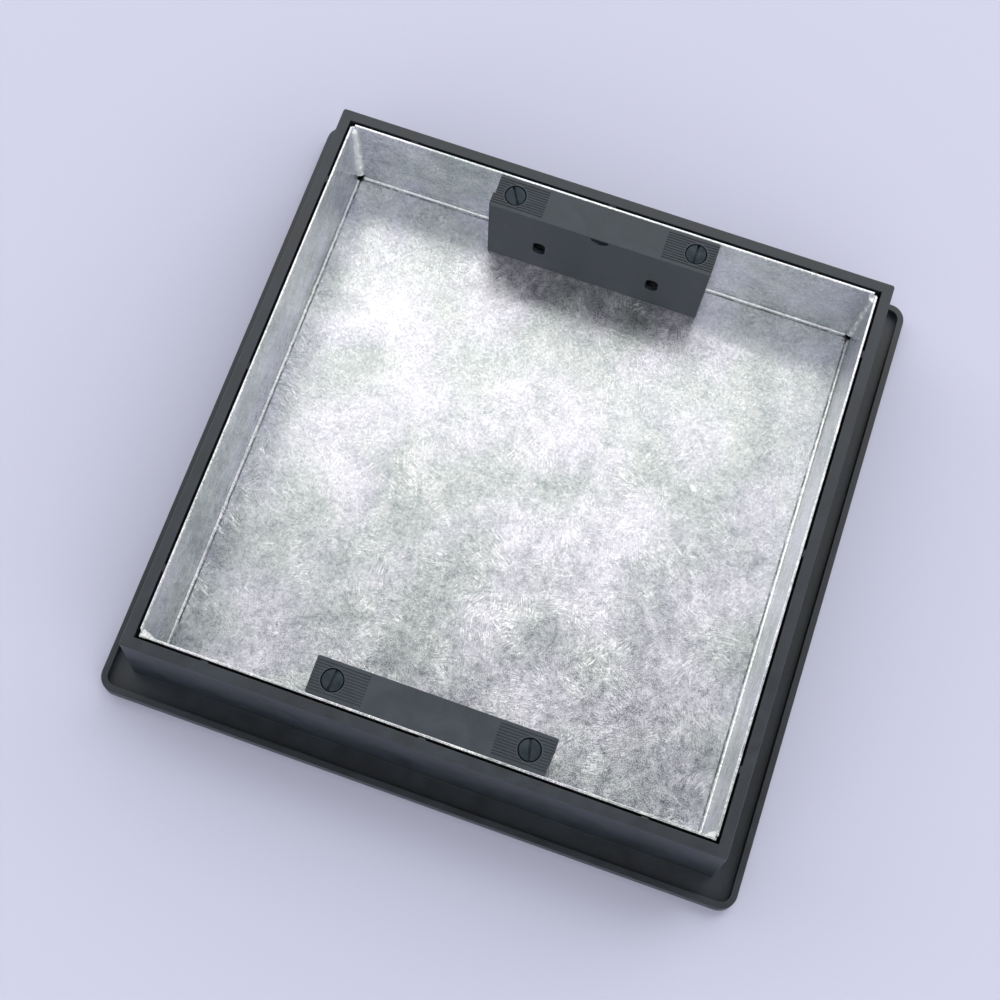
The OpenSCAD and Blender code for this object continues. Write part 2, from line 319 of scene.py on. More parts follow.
def flange():
    """The flat flange with its raised, rounded lip."""
    foot = (FRAME_HIGH.x, FRAME_HIGH.y, FLANGE_T + LIP_H)
    piece = box("frame_moulding", (FRAME_LOW.x, FRAME_LOW.y, 0), foot)
    edit(piece)
    pick_faces(lambda at, normal: normal.z > ALONG)
    shrink = 1 - FLANGE_DRAFT / FRAME_HIGH.x
    bpy.ops.transform.resize(value=(shrink, shrink, 1), center_override=(0, 0, foot[2]))
    pick_edges(lambda at, along: abs(along.z) > ALONG)
    bpy.ops.mesh.bevel(offset=FLANGE_R, segments=10)
    pick_faces(lambda at, normal: normal.z > ALONG)
    bpy.ops.mesh.inset(thickness=LIP_W)
    extrude((0, 0, -LIP_H))
    leave()
    return piece


def walls():
    """The square upright walls, drafted outside and softly rounded along the top."""
    piece = box("walls", (-WALL_FOOT_HALF, -WALL_FOOT_HALF, WALL_START),
                (WALL_FOOT_HALF, WALL_FOOT_HALF, RIM_Z))
    edit(piece)
    pick_faces(lambda at, normal: normal.z > ALONG)
    shrink = WALL_TOP_HALF / WALL_FOOT_HALF
    bpy.ops.transform.resize(value=(shrink, shrink, 1), center_override=(0, 0, RIM_Z))
    pick_edges(lambda at, along: abs(along.z) > ALONG)
    bpy.ops.mesh.bevel(offset=WALL_CORNER_R, segments=5)
    pick_edges(lambda at, along: at.z > RIM_Z - MM and abs(along.z) < ACROSS)
    bpy.ops.mesh.bevel(offset=WALL_EDGE_R, segments=4)
    leave()
    return piece


def wall_cores():
    """The pockets under the walls that keep the moulding's thickness even."""
    count = int(2 * TRAY_HIGH.x / CORE_PITCH)
    inner = WELL_HALF + CORE_SKIN
    pockets = []
    for side in range(4):
        for i in range(count):
            start = (i - count / 2) * CORE_PITCH + CORE_WEB / 2
            end = start + CORE_PITCH - CORE_WEB
            pocket = box("pocket", (inner, start, -PAST), (inner + CORE_W, end, CORE_TOP))
            pockets.append(twin(pocket, "pocket", turn=side * math.pi / 2))
            bpy.data.objects.remove(pocket)
    return join(pockets, "pockets")


def spacer_ribs():
    """Three low ribs on each wall that keep the tray central, with a lead-in at the top."""
    model = box("rib", (WELL_HALF - SPACER_REACH, -SPACER_W / 2, LEDGE_T - PAST),
                (WELL_HALF + PAST, SPACER_W / 2, RIM_Z - SPACER_DROP))
    edit(model)
    pick_edges(lambda at, along: at.z > RIM_Z - MM and at.x < WELL_HALF and abs(along.y) > ALONG)
    bpy.ops.mesh.bevel(offset=SPACER_LEAD_IN, segments=2)
    leave()
    ribs = []
    for side in range(4):
        for place in SPACER_PLACES:
            turned = Matrix.Rotation(side * math.pi / 2, 3, "Z") @ Vector((0, place, 0))
            ribs.append(twin(model, "rib", move=turned, turn=side * math.pi / 2))
    bpy.data.objects.remove(model)
    return join(ribs, "ribs")


def insert_seats():
    """Stepped holes in the ledge for the threaded inserts."""
    seats = []
    for corner in CORNERS:
        middle = middle_of("thread_insert_" + corner)
        hole = bar("hole", (middle.x, middle.y, LEDGE_T / 2), INSERT_R, LEDGE_T + 2 * PAST)
        step = bar("step", (middle.x, middle.y, (INSERT_FLANGE_Z - PAST) / 2), INSERT_FLANGE_R,
                   INSERT_FLANGE_Z + PAST)
        combine(hole, [step], "UNION")
        seats.append(hole)
    return join(seats, "seats")


def frame_moulding():
    """The whole frame: flange and walls, hollowed for the tray and the shaft, with its spacer ribs."""
    piece = flange()
    combine(piece, [walls()], "UNION")
    well = box("well", (-WELL_HALF, -WELL_HALF, LEDGE_T), (WELL_HALF, WELL_HALF, RIM_Z + PAST))
    opening = bar("opening", (0, 0, LEDGE_T / 2), OPENING_R, LEDGE_T + 2 * PAST, sides=180)
    combine(piece, [well, opening, insert_seats(), wall_cores()], "DIFFERENCE")
    combine(piece, [spacer_ribs()], "UNION")
    soften(piece, FRAME_EDGE)
    return piece


# ---------------------------------------------------------------- folded tray

def tray_cuts():
    """Rim notches, relief holes, screw holes and rivet holes of the tray."""
    cuts = []
    through = 4 * SHEET_T
    # a relief hole points from the tray's corner towards its middle, along the cube's diagonal
    tilt = math.acos(1 / math.sqrt(3))
    for corner, (side_x, side_y) in CORNERS.items():
        rim = Vector((side_x * TRAY_HIGH.x, side_y * TRAY_HIGH.y, RIM_Z))
        clipped = corner == "near_left"
        reach = RIM_CLIP / math.sqrt(2) if clipped else RIM_NOTCH
        notch = box("notch", (-reach, -reach, -NOTCH_DEEP), (reach, reach, PAST))
        cuts.append(twin(notch, "notch", move=rim, turn=math.radians(45) if clipped else 0))
        bpy.data.objects.remove(notch)
        bottom = (side_x * INNER_HALF, side_y * INNER_HALF, FLOOR_Z)
        heading = math.atan2(side_y, side_x)
        cuts.append(bar("relief", bottom, RELIEF_R, RELIEF_L, (0, math.pi - tilt, heading), 24))
        screw = middle_of("lock_screw_" + corner)
        cuts.append(bar("screw_hole", (screw.x, screw.y, FLOOR_Z), SHANK_HOLE_R, through, sides=32))
        rivet = middle_of("rivet_" + corner)
        cuts.append(bar("rivet_hole", (rivet.x, side_y * TRAY_HIGH.y, rivet.z), RIVET_R, through,
                        (math.pi / 2, 0, 0), 24))
    return cuts


def folded_tray():
    """One sheet folded up on four sides: a box without its top, its folds rounded, given its gauge."""
    piece = box("folded_tray", TRAY_LOW, TRAY_HIGH)
    edit(piece)
    pick_faces(lambda at, normal: normal.z > ALONG)
    bpy.ops.mesh.delete(type="FACE")
    pick_edges(lambda at, along: at.z < TRAY_LOW.z + MM)
    bpy.ops.mesh.bevel(offset=FOLD_R, segments=5)
    leave()
    modify(piece, "SOLIDIFY", thickness=SHEET_T, offset=-1, use_even_offset=True,
           use_quality_normals=True)
    combine(piece, tray_cuts(), "DIFFERENCE")
    soften(piece, TRAY_EDGE, segments=3)
    return piece


def weld_beads():
    """The hand-laid weld in each upright corner: a bar roughened into lumps, then dipped in zinc."""
    model = bar("bead", (0, 0, (WELD_FOOT_Z + WELD_TOP_Z) / 2), WELD_R, WELD_TOP_Z - WELD_FOOT_Z,
                sides=20)
    edit(model)
    pick_faces(lambda at, normal: abs(normal.z) > ALONG)
    bpy.ops.mesh.inset(thickness=WELD_END_ROUND)
    pick_edges(lambda at, along: abs(along.z) > ALONG)
    bpy.ops.mesh.subdivide(number_cuts=WELD_RINGS)
    leave()
    lumps = bpy.data.textures.new("weld_lumps", "CLOUDS")
    lumps.noise_scale = WELD_LUMP
    lumps.noise_depth = 2
    # the bead melts this far into the sheet and never comes through it
    reach = INNER_HALF + WELD_BITE
    beads = {}
    for corner, (side_x, side_y) in CORNERS.items():
        at = (side_x * INNER_HALF, side_y * INNER_HALF, 0)
        bead = twin(model, "weld_bead_" + corner, move=at)
        modify(bead, "DISPLACE", texture=lumps, texture_coords="GLOBAL", strength=WELD_HEIGHT,
               mid_level=0.5)
        inside = box("inside", (-reach, -reach, WELD_FOOT_Z - WELD_SAG), (reach, reach, WELD_TOP_Z))
        combine(bead, [inside], "INTERSECT")
        smooth(bead, 60)
        beads[corner] = bead
    bpy.data.objects.remove(model)
    return beads


# ---------------------------------------------------------------- key blocks

def block_shell():
    """The outside of the near block, with the key nub on its right end."""
    end_x = BLOCK_HIGH.x - NUB_T
    piece = box("key_block", (BLOCK_LOW.x, BLOCK_LOW.y, FLOOR_Z), (end_x, BLOCK_HIGH.y, RIM_Z))
    nub_y = BLOCK_HIGH.y - NUB_W
    edit(piece)
    bpy.ops.mesh.select_all(action="SELECT")
    bpy.ops.mesh.bisect(plane_co=(0, nub_y, 0), plane_no=(0, 1, 0))
    pick_faces(lambda at, normal: normal.x > ALONG and at.y > nub_y)
    extrude((NUB_T, 0, 0))
    # every upright corner but the two at the foot of the nub
    pick_edges(lambda at, along: abs(along.z) > ALONG
               and not (abs(at.x - end_x) < CLOSE and at.y > BLOCK_LOW.y + MM))
    bpy.ops.mesh.bevel(offset=BLOCK_R, segments=4)
    # the lower back edge clears the fold of the tray
    pick_edges(lambda at, along: abs(along.x) > ALONG
               and at.y < BLOCK_LOW.y + CLOSE and at.z < FLOOR_Z + CLOSE)
    bpy.ops.mesh.bevel(offset=BLOCK_FOOT_CUT, segments=2)
    leave()
    return piece


def block_hollow(screws_x, screw_y):
    """The space inside the block, around its bosses and webs."""
    low = (BLOCK_LOW.x + BLOCK_WALL, BLOCK_LOW.y + BLOCK_WALL, FLOOR_Z - PAST)
    high = (BLOCK_HIGH.x - NUB_T - BLOCK_WALL, BLOCK_HIGH.y - BLOCK_WALL, RIM_Z - BLOCK_TOP_T)
    hollow = box("hollow", low, high)
    solid = [bar("boss", (x, screw_y, RIM_Z - BOSS_LEN / 2), BOSS_R, BOSS_LEN) for x in screws_x]
    for x in (-WEB_X, WEB_X):
        solid.append(box("web", (x - WEB_T / 2, low[1] - PAST, low[2] - PAST),
                         (x + WEB_T / 2, high[1] + PAST, RIM_Z)))
    combine(hollow, solid, "DIFFERENCE")
    return hollow


def grip_grooves(screws_x, screw_y):
    """The grooves across both ends of the top, clear of the collar round each screw."""
    reach = BLOCK_HIGH.x + PAST
    grooves = []
    for side in (-1, 1):
        for i in range(GROOVE_COUNT):
            y = screw_y + (i - (GROOVE_COUNT - 1) / 2) * GROOVE_PITCH
            ends = sorted((side * PANEL_HALF, side * reach))
            grooves.append(box("groove", (ends[0], y - GROOVE_PITCH / 4, RIM_Z - GROOVE_DEEP),
                               (ends[1], y + GROOVE_PITCH / 4, RIM_Z + PAST)))
    piece = join(grooves, "grooves")
    collars = [bar("collar", (x, screw_y, RIM_Z), COLLAR_R, 4 * PAST) for x in screws_x]
    combine(piece, collars, "DIFFERENCE")
    return piece


def rivet_port(x):
    """An opening with round ends in the block's front wall."""
    front = BLOCK_HIGH.y - BLOCK_WALL / 2
    straight = (PORT_H - 2 * PORT_R) / 2
    depth = BLOCK_WALL + 2 * PAST
    port = bar("port", (x, front, PORT_Z + straight), PORT_R, depth, (math.pi / 2, 0, 0), 40)
    lower = bar("lower", (x, front, PORT_Z - straight), PORT_R, depth, (math.pi / 2, 0, 0), 40)
    middle = box("middle", (x - PORT_R, front - depth / 2, PORT_Z - straight),
                 (x + PORT_R, front + depth / 2, PORT_Z + straight))
    combine(port, [lower, middle], "UNION")
    return port


def front_notch():
    """The half round notch under a thin skin at the top of the front."""
    front = BLOCK_HIGH.y - BLOCK_WALL / 2
    flat = RIM_Z - NOTCH_SKIN
    notch = bar("notch", (0, front, flat), NOTCH_R, BLOCK_WALL + 2 * PAST, (math.pi / 2, 0, 0), 40)
    edit(notch)
    bpy.ops.mesh.select_all(action="SELECT")
    bpy.ops.mesh.bisect(plane_co=(0, 0, flat), plane_no=(0, 0, 1), clear_outer=True, use_fill=True)
    leave()
    return notch


def key_blocks():
    """Both blocks: the far one is the near one after half a turn."""
    near = block_shell()
    screw = middle_of("lock_screw_near_left")
    screws_x = (screw.x, -screw.x)
    cuts = [block_hollow(screws_x, screw.y), grip_grooves(screws_x, screw.y), front_notch()]
    for x in screws_x:
        cuts.append(bar("counterbore", (x, screw.y, (SEAT_Z + RIM_Z + PAST) / 2), COUNTERBORE_R,
                        RIM_Z + PAST - SEAT_Z, sides=64))
        cuts.append(bar("bore", (x, screw.y, RIM_Z - BOSS_LEN / 2), SHANK_HOLE_R,
                        BOSS_LEN + 2 * PAST, sides=32))
    for x in (-PORT_X, PORT_X):
        cuts.append(rivet_port(x))
        cuts.append(bar("rivet_hole", (x, BLOCK_LOW.y, PORT_Z), RIVET_R, 4 * BLOCK_WALL,
                        (math.pi / 2, 0, 0), 24))
    combine(near, cuts, "DIFFERENCE")
    soften(near, BLOCK_EDGE)
    near.name = "key_block_moulding_near"
    far = twin(near, "key_block_moulding_far", turn=math.pi)
    return {"near": near, "far": far}


# ---------------------------------------------------------------- screws and rivets

def screw_thread(foot):
    """A rolled thread: a triangle carried round and up, its two ends closed."""
    sunk_r = THREAD_ROOT_R - THREAD_SUNK
    outline = [(sunk_r, -THREAD_HALF), (THREAD_CREST_R, 0), (sunk_r, THREAD_HALF)]
    mesh = bpy.data.meshes.new("thread")
    points = [(x, 0, foot + THREAD_HALF + z) for x, z in outline]
    mesh.from_pydata(points, [(0, 1), (1, 2), (2, 0)], [])
    thread = bpy.data.objects.new("thread", mesh)
    bpy.context.scene.collection.objects.link(thread)
    modify(thread, "SCREW", angle=math.tau, screw_offset=THREAD_PITCH, iterations=THREAD_TURNS,
           steps=28, render_steps=28, use_smooth_shade=False)
    edit(thread)
    bpy.ops.mesh.select_all(action="SELECT")
    bpy.ops.mesh.remove_doubles(threshold=0.001 * MM)
    bpy.ops.mesh.select_mode(type="EDGE")
    bpy.ops.mesh.select_all(action="DESELECT")
    bpy.ops.mesh.select_non_manifold()
    bpy.ops.mesh.fill()
    bpy.ops.mesh.select_all(action="SELECT")
    bpy.ops.mesh.normals_make_consistent(inside=False)
    leave()
    return thread


def screw_model():
    """A slotted cheese head screw on the Z axis, its slot along Y."""
    low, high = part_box("lock_screw_near_left")
    tip, top = low.z, high.z
    thread_top = tip + (THREAD_TURNS + 1) * THREAD_PITCH
    piece = bar("screw", (0, 0, (tip + thread_top) / 2), THREAD_ROOT_R, thread_top - tip, sides=28)
    edit(piece)
    pick_faces(lambda at, normal: normal.z > ALONG)
    extrude((0, 0, 0))
    widen = SHANK_R / THREAD_ROOT_R
    cone_h = SHANK_R - THREAD_ROOT_R
    # the new ring is widened and raised into the cone under the plain shank
    bpy.ops.transform.resize(value=(widen, widen, 1), center_override=(0, 0, thread_top))
    bpy.ops.transform.translate(value=(0, 0, cone_h))
    extrude((0, 0, top - HEAD_T - thread_top - cone_h))
    pick_edges(lambda at, along: at.z < tip + CLOSE)
    bpy.ops.mesh.bevel(offset=TIP_CHAMFER, segments=2)
    leave()
    head = bar("head", (0, 0, top - HEAD_T / 2), HEAD_R, HEAD_T, sides=72)
    edit(head)
    pick_edges(lambda at, along: at.z > top - CLOSE)
    bpy.ops.mesh.bevel(offset=HEAD_TOP_R, segments=4)
    pick_edges(lambda at, along: at.z < top - HEAD_T + CLOSE)
    bpy.ops.mesh.bevel(offset=HEAD_FOOT_R, segments=2)
    leave()
    slot = box("slot", (-SLOT_W / 2, -HEAD_R - PAST, top - SLOT_DEEP),
               (SLOT_W / 2, HEAD_R + PAST, top + PAST))
    combine(head, [slot], "DIFFERENCE")
    modify(head, "BEVEL", width=SLOT_EDGE, segments=2, limit_method="ANGLE",
           angle_limit=math.radians(50))
    piece = join([piece, head, screw_thread(tip + THREAD_START)], "screw")
    smooth(piece, 35)
    return piece


def screws():
    """The four screws, each with its slot left at its own turn."""
    model = screw_model()
    made = {}
    for corner in CORNERS:
        place = middle_of("lock_screw_" + corner)
        made[corner] = twin(model, "slotted_screw_" + corner, move=(place.x, place.y, 0),
                            turn=math.radians(SLOT_TURN[corner]))
    bpy.data.objects.remove(model)
    return made


def rivets():
    """Blind rivets: a domed head outside the tray wall and a pulled, bulged end inside the block."""
    head_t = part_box("rivet_far_left")[1].y - TRAY_HIGH.y
    grip = SHEET_T + BLOCK_WALL
    model = bar("rivet", (0, 0, -head_t / 2), RIVET_HEAD_R, head_t, sides=32)
    edit(model)
    pick_edges(lambda at, along: at.z < -head_t + CLOSE)
    bpy.ops.mesh.bevel(offset=head_t * 0.8, segments=5)
    pick_faces(lambda at, normal: normal.z > ALONG)
    bpy.ops.mesh.inset(thickness=RIVET_HEAD_R - RIVET_R)
    extrude((0, 0, grip))
    extrude((0, 0, RIVET_SHOULDER))
    widen = RIVET_TAIL_R / RIVET_R
    bpy.ops.transform.resize(value=(widen, widen, 1), center_override=(0, 0, grip))
    extrude((0, 0, RIVET_TAIL_L - RIVET_SHOULDER))
    pick_edges(lambda at, along: at.z > grip + RIVET_TAIL_L - CLOSE)
    bpy.ops.mesh.bevel(offset=RIVET_TAIL_ROUND, segments=4)
    pick_faces(lambda at, normal: normal.z > ALONG and at.z > grip + RIVET_TAIL_L - MM)
    bpy.ops.mesh.inset(thickness=RIVET_TAIL_RIM)
    extrude((0, 0, -RIVET_TAIL_HOLLOW))
    leave()
    smooth(model, 40)
    made = {}
    for corner, (_, side_y) in CORNERS.items():
        place = middle_of("rivet_" + corner)
        made[corner] = twin(model, "blind_rivet_" + corner, tip=side_y * math.pi / 2,
                            move=(place.x, side_y * TRAY_HIGH.y, place.z))
    bpy.data.objects.remove(model)
    return made


# ---------------------------------------------------------------- materials

# numbers of the colour sockets on a Mix node
MIX_A, MIX_B, MIX_OUT = 6, 7, 2


def colour(code):
    """An sRGB hex colour as linear red, green and blue."""
    parts = [int(code[i:i + 2], 16) / 255 for i in (1, 3, 5)]
    return tuple(c / 12.92 if c <= 0.04045 else ((c + 0.055) / 1.055) ** 2.4 for c in parts) + (1,)


def per(size_mm):
    """The texture scale at which a pattern repeats about every so many millimetres."""
    return 1000 / size_mm


def add(tree, kind, inputs=None, **settings):
    """Adds a node: settings are its properties, inputs are values or sockets to link."""
    made = tree.nodes.new("ShaderNode" + kind)
    for key, value in settings.items():
        setattr(made, key, value)
    for key, value in (inputs or {}).items():
        if isinstance(value, bpy.types.NodeSocket):
            tree.links.new(value, made.inputs[key])
        else:
            made.inputs[key].default_value = value
    return made


def new_material(name):
    """An empty material with its shader, and the object's own coordinates."""
    made = bpy.data.materials.new(name)
    made.use_nodes = True
    tree = made.node_tree
    tree.nodes.clear()
    shader = add(tree, "BsdfPrincipled")
    add(tree, "OutputMaterial", {"Surface": shader.outputs["BSDF"]})
    here = add(tree, "TexCoord").outputs["Object"]
    return made, tree, shader, here


def moulded_polypropylene(name, dark, pale, matt):
    """Injection moulded polypropylene with a spark-eroded face: satin, finely pitted, uneven."""
    made, tree, shader, here = new_material(name)
    # the real pits are about 0.15 mm, drawn at 0.9 mm so that they show
    pits = add(tree, "TexNoise", {"Vector": here, "Scale": per(0.9), "Detail": 3, "Roughness": 0.6})
    # flow marks some centimetres long, left by the melt
    flow = add(tree, "TexNoise", {"Vector": here, "Scale": per(28), "Detail": 5, "Roughness": 0.6,
                                  "Distortion": 1.2})
    blend = add(tree, "MapRange", {"Value": flow.outputs[0], "From Min": 0.35, "From Max": 0.68})
    speck = add(tree, "MapRange", {"Value": pits.outputs[0], "From Min": 0.3, "From Max": 0.75,
                                   "To Min": -0.35, "To Max": 0.35})
    mixed = add(tree, "Math", {0: blend.outputs[0], 1: speck.outputs[0]}, operation="ADD",
                use_clamp=True)
    tint = add(tree, "Mix", {0: mixed.outputs[0], MIX_A: colour(dark), MIX_B: colour(pale)},
               data_type="RGBA")
    # duller where the melt cooled first
    rough = add(tree, "MapRange", {"Value": flow.outputs[0], "From Min": 0.3, "From Max": 0.7,
                                   "To Min": matt - 0.04, "To Max": matt + 0.08})
    relief = add(tree, "Bump", {"Height": pits.outputs[0], "Strength": 0.5, "Distance": 0.12 * MM})
    tree.links.new(tint.outputs[MIX_OUT], shader.inputs["Base Color"])
    tree.links.new(rough.outputs[0], shader.inputs["Roughness"])
    tree.links.new(relief.outputs[0], shader.inputs["Normal"])
    shader.inputs["IOR"].default_value = 1.49
    return made


def galvanised_steel():
    """Hot-dip galvanised sheet: bright zinc, mottled, scuffed, with a painted highlight and painted
    shade lines along the folds.
    """
    made, tree, shader, here = new_material("hot_dip_galvanised_sheet")
    # slow drift of the pattern, so that nothing runs straight
    drift = add(tree, "TexNoise", {"Vector": here, "Scale": per(45), "Detail": 2})
    centred = add(tree, "VectorMath", {0: drift.outputs["Color"], 1: (0.5, 0.5, 0.5)},
                  operation="SUBTRACT")
    pushed = add(tree, "VectorMath", {0: centred.outputs[0], "Scale": 14 * MM}, operation="SCALE")
    bent = add(tree, "VectorMath", {0: here, 1: pushed.outputs[0]}, operation="ADD").outputs[0]
    # zinc clouds 15 to 60 mm across and mottling of 2 to 8 mm
    cloud = add(tree, "TexNoise", {"Vector": bent, "Scale": per(48), "Detail": 5, "Roughness": 0.6})
    mottle = add(tree, "TexNoise", {"Vector": bent, "Scale": per(6), "Detail": 6, "Roughness": 0.75,
                                    "Distortion": 0.3})
    # the real frosted grain is finer than 0.2 mm, drawn at 0.5 mm so that it shows
    grain = add(tree, "TexNoise", {"Vector": here, "Scale": per(0.5), "Detail": 2, "Roughness": 0.6})
    # crystals of zinc about 6 mm across, each a slightly different grey
    spangle = add(tree, "TexVoronoi", {"Vector": bent, "Scale": per(6), "Randomness": 1})
    # scratches up to 8 mm long, drawn 0.7 mm wide so that they show, in four directions that
    # come and go in patches of some 26 mm
    scuffs = None
    for turn, where in ((12, 0.0), (61, 7.3), (-34, 19.1), (104, 31.7)):
        turned = add(tree, "Mapping", {"Vector": bent, "Rotation": (0.3, 0.2, math.radians(turn)),
                                       "Scale": (0.7 * MM, 8 * MM, 3 * MM)}, vector_type="TEXTURE")
        lines = add(tree, "TexNoise", {"Vector": turned.outputs[0], "Scale": 1, "Detail": 4,
                                       "Roughness": 0.75})
        sharp = add(tree, "MapRange", {"Value": lines.outputs[0], "From Min": 0.53, "From Max": 0.66})
        moved = add(tree, "VectorMath", {0: here, 1: (where, -where, where)}, operation="ADD")
        patch = add(tree, "TexNoise", {"Vector": moved.outputs[0], "Scale": per(26), "Detail": 5,
                                       "Roughness": 0.65})
        mask = add(tree, "MapRange", {"Value": patch.outputs[0], "From Min": 0.5, "From Max": 0.64})
        strokes = add(tree, "Math", {0: sharp.outputs[0], 1: mask.outputs[0]}, operation="MULTIPLY")
        if scuffs is None:
            scuffs = strokes.outputs[0]
        else:
            scuffs = add(tree, "Math", {0: scuffs, 1: strokes.outputs[0]}, operation="ADD",
                         use_clamp=True).outputs[0]
    # pale flecks and dull pits a millimetre or two across
    fleck = add(tree, "TexNoise", {"Vector": here, "Scale": per(1.7), "Detail": 3, "Roughness": 0.8})
    finer = add(tree, "Math", {0: fleck.outputs[0], 1: 1.4}, operation="MULTIPLY")
    speck = add(tree, "Math", {0: mottle.outputs[0], 1: 0.6, 2: finer.outputs[0]},
                operation="MULTIPLY_ADD")
    speckled = add(tree, "MapRange", {"Value": speck.outputs[0], "From Min": 0.72, "From Max": 1.28})
    soft = add(tree, "MapRange", {"Value": cloud.outputs[0], "From Min": 0.35, "From Max": 0.65})
    cell = add(tree, "SeparateColor", {"Color": spangle.outputs["Color"]})
    # grey of the zinc: specks, then half as much cloud, then a fifth as much of the crystals
    tone = add(tree, "Math", {0: soft.outputs[0], 1: 0.5, 2: speckled.outputs[0]},
               operation="MULTIPLY_ADD")
    tone = add(tree, "Math", {0: cell.outputs[0], 1: 0.22, 2: tone.outputs[0]},
               operation="MULTIPLY_ADD")
    tone = add(tree, "MapRange", {"Value": tone.outputs[0], "From Min": 0.25, "From Max": 1.45})
    zinc = add(tree, "Mix", {0: tone.outputs[0], MIX_A: colour("#9da4aa"), MIX_B: colour("#ecedf1")},
               data_type="RGBA")
    # a green or lavender cast that drifts over the sheet
    cast = add(tree, "MapRange", {"Value": drift.outputs[0], "From Min": 0.4, "From Max": 0.62})
    hue = add(tree, "Mix", {0: cast.outputs[0], MIX_A: colour("#f4f8f6"), MIX_B: colour("#f8f7ff")},
              data_type="RGBA")
    zinc = add(tree, "Mix", {0: 1.0, MIX_A: zinc.outputs[MIX_OUT], MIX_B: hue.outputs[MIX_OUT]},
               data_type="RGBA", blend_type="MULTIPLY")
    zinc = add(tree, "Mix", {0: scuffs, MIX_A: zinc.outputs[MIX_OUT], MIX_B: colour("#f7f9fc")},
               data_type="RGBA")
    # a painted highlight along the folds round the floor, between two rough lines of painted shade
    painted_fold_highlight, edges = painted_fold_lines(tree, here, mottle.outputs[0])
    zinc = add(tree, "Mix", {0: painted_fold_highlight, MIX_A: zinc.outputs[MIX_OUT], MIX_B: colour("#f4f6f8")},
               data_type="RGBA")
    # painted shade: the dark lines on either side of each fold
    zinc = add(tree, "Mix", {0: edges, MIX_A: zinc.outputs[MIX_OUT], MIX_B: colour("#41494c")},
               data_type="RGBA")
    # bright smooth crystals between frosted ones: the grain is half mirror, half matt
    patchy = add(tree, "Math", {0: mottle.outputs[0], 1: 0.35, 2: grain.outputs[0]},
                 operation="MULTIPLY_ADD")
    rough = add(tree, "MapRange", {"Value": patchy.outputs[0], "From Min": 0.64, "From Max": 0.7,
                                   "To Min": 0.12, "To Max": 0.5})
    rough = add(tree, "Math", {0: scuffs, 1: 0.1, 2: rough.outputs[0]}, operation="MULTIPLY_ADD")
    # the sheet's slow waves, then mottling, grain and scratches
    waves = add(tree, "TexNoise", {"Vector": here, "Scale": per(60), "Detail": 1})
    relief = add(tree, "Bump", {"Height": waves.outputs[0], "Strength": 1, "Distance": 0.5 * MM})
    relief = add(tree, "Bump", {"Height": speck.outputs[0], "Strength": 1, "Distance": 0.05 * MM,
                                "Normal": relief.outputs[0]})
    relief = add(tree, "Bump", {"Height": grain.outputs[0], "Strength": 1, "Distance": 0.008 * MM,
                                "Normal": relief.outputs[0]})
    relief = add(tree, "Bump", {"Height": scuffs, "Strength": 1, "Distance": 0.05 * MM,
                                "Normal": relief.outputs[0]})
    tree.links.new(zinc.outputs[MIX_OUT], shader.inputs["Base Color"])
    tree.links.new(rough.outputs[0], shader.inputs["Roughness"])
    tree.links.new(relief.outputs[0], shader.inputs["Normal"])
    shader.inputs["Metallic"].default_value = 1
    return made


def painted_fold_lines(tree, here, noise):
    """A painted highlight and two lines of painted shade along the folds at the foot of the tray's
    walls.
    """
    axes = add(tree, "SeparateXYZ", {"Vector": here})
    across = add(tree, "Math", {0: axes.outputs[0]}, operation="ABSOLUTE")
    along = add(tree, "Math", {0: axes.outputs[1]}, operation="ABSOLUTE")
    outer = add(tree, "Math", {0: across.outputs[0], 1: along.outputs[0]}, operation="MAXIMUM")
    # how far a spot is from the fold: in along the floor, or up the wall
    inward = add(tree, "Math", {0: INNER_HALF, 1: outer.outputs[0]}, operation="SUBTRACT")
    upward = add(tree, "Math", {0: axes.outputs[2], 1: FLOOR_Z}, operation="SUBTRACT")
    gap = add(tree, "Math", {0: inward.outputs[0], 1: upward.outputs[0]}, operation="MAXIMUM")
    # an uneven edge: the noise adds up to 2.4 mm to the distance
    wander = add(tree, "Math", {0: noise, 1: 2.4 * MM, 2: gap.outputs[0]}, operation="MULTIPLY_ADD")
    # the painted highlight, strongest on the fold itself
    painted_fold_highlight = add(tree, "MapRange", {"Value": wander.outputs[0], "From Min": 3.1 * MM,
                                   "From Max": 2.3 * MM, "To Max": 0.3})
    # the two lines of painted shade, about 3.4 mm out from the fold
    off_line = add(tree, "Math", {0: wander.outputs[0], 1: 3.4 * MM}, operation="SUBTRACT")
    off_line = add(tree, "Math", {0: off_line.outputs[0]}, operation="ABSOLUTE")
    line = add(tree, "MapRange", {"Value": off_line.outputs[0], "From Min": 0.7 * MM,
                                  "From Max": 0.3 * MM})
    # the painted shade lines are broken up by the noise
    broken = add(tree, "MapRange", {"Value": noise, "From Min": 0.36, "From Max": 0.54,
                                    "To Max": 0.85})
    edges = add(tree, "Math", {0: line.outputs[0], 1: broken.outputs[0]}, operation="MULTIPLY")
    # only on the inside of the tray
    inside = add(tree, "Math", {0: inward.outputs[0], 1: -0.8 * MM}, operation="GREATER_THAN")
    above = add(tree, "Math", {0: upward.outputs[0], 1: -0.8 * MM}, operation="GREATER_THAN")
    inside = add(tree, "Math", {0: inside.outputs[0], 1: above.outputs[0]}, operation="MULTIPLY")
    painted_fold_highlight = add(tree, "Math", {0: painted_fold_highlight.outputs[0], 1: inside.outputs[0]}, operation="MULTIPLY")
    edges = add(tree, "Math", {0: edges.outputs[0], 1: inside.outputs[0]}, operation="MULTIPLY")
    return painted_fold_highlight.outputs[0], edges.outputs[0]


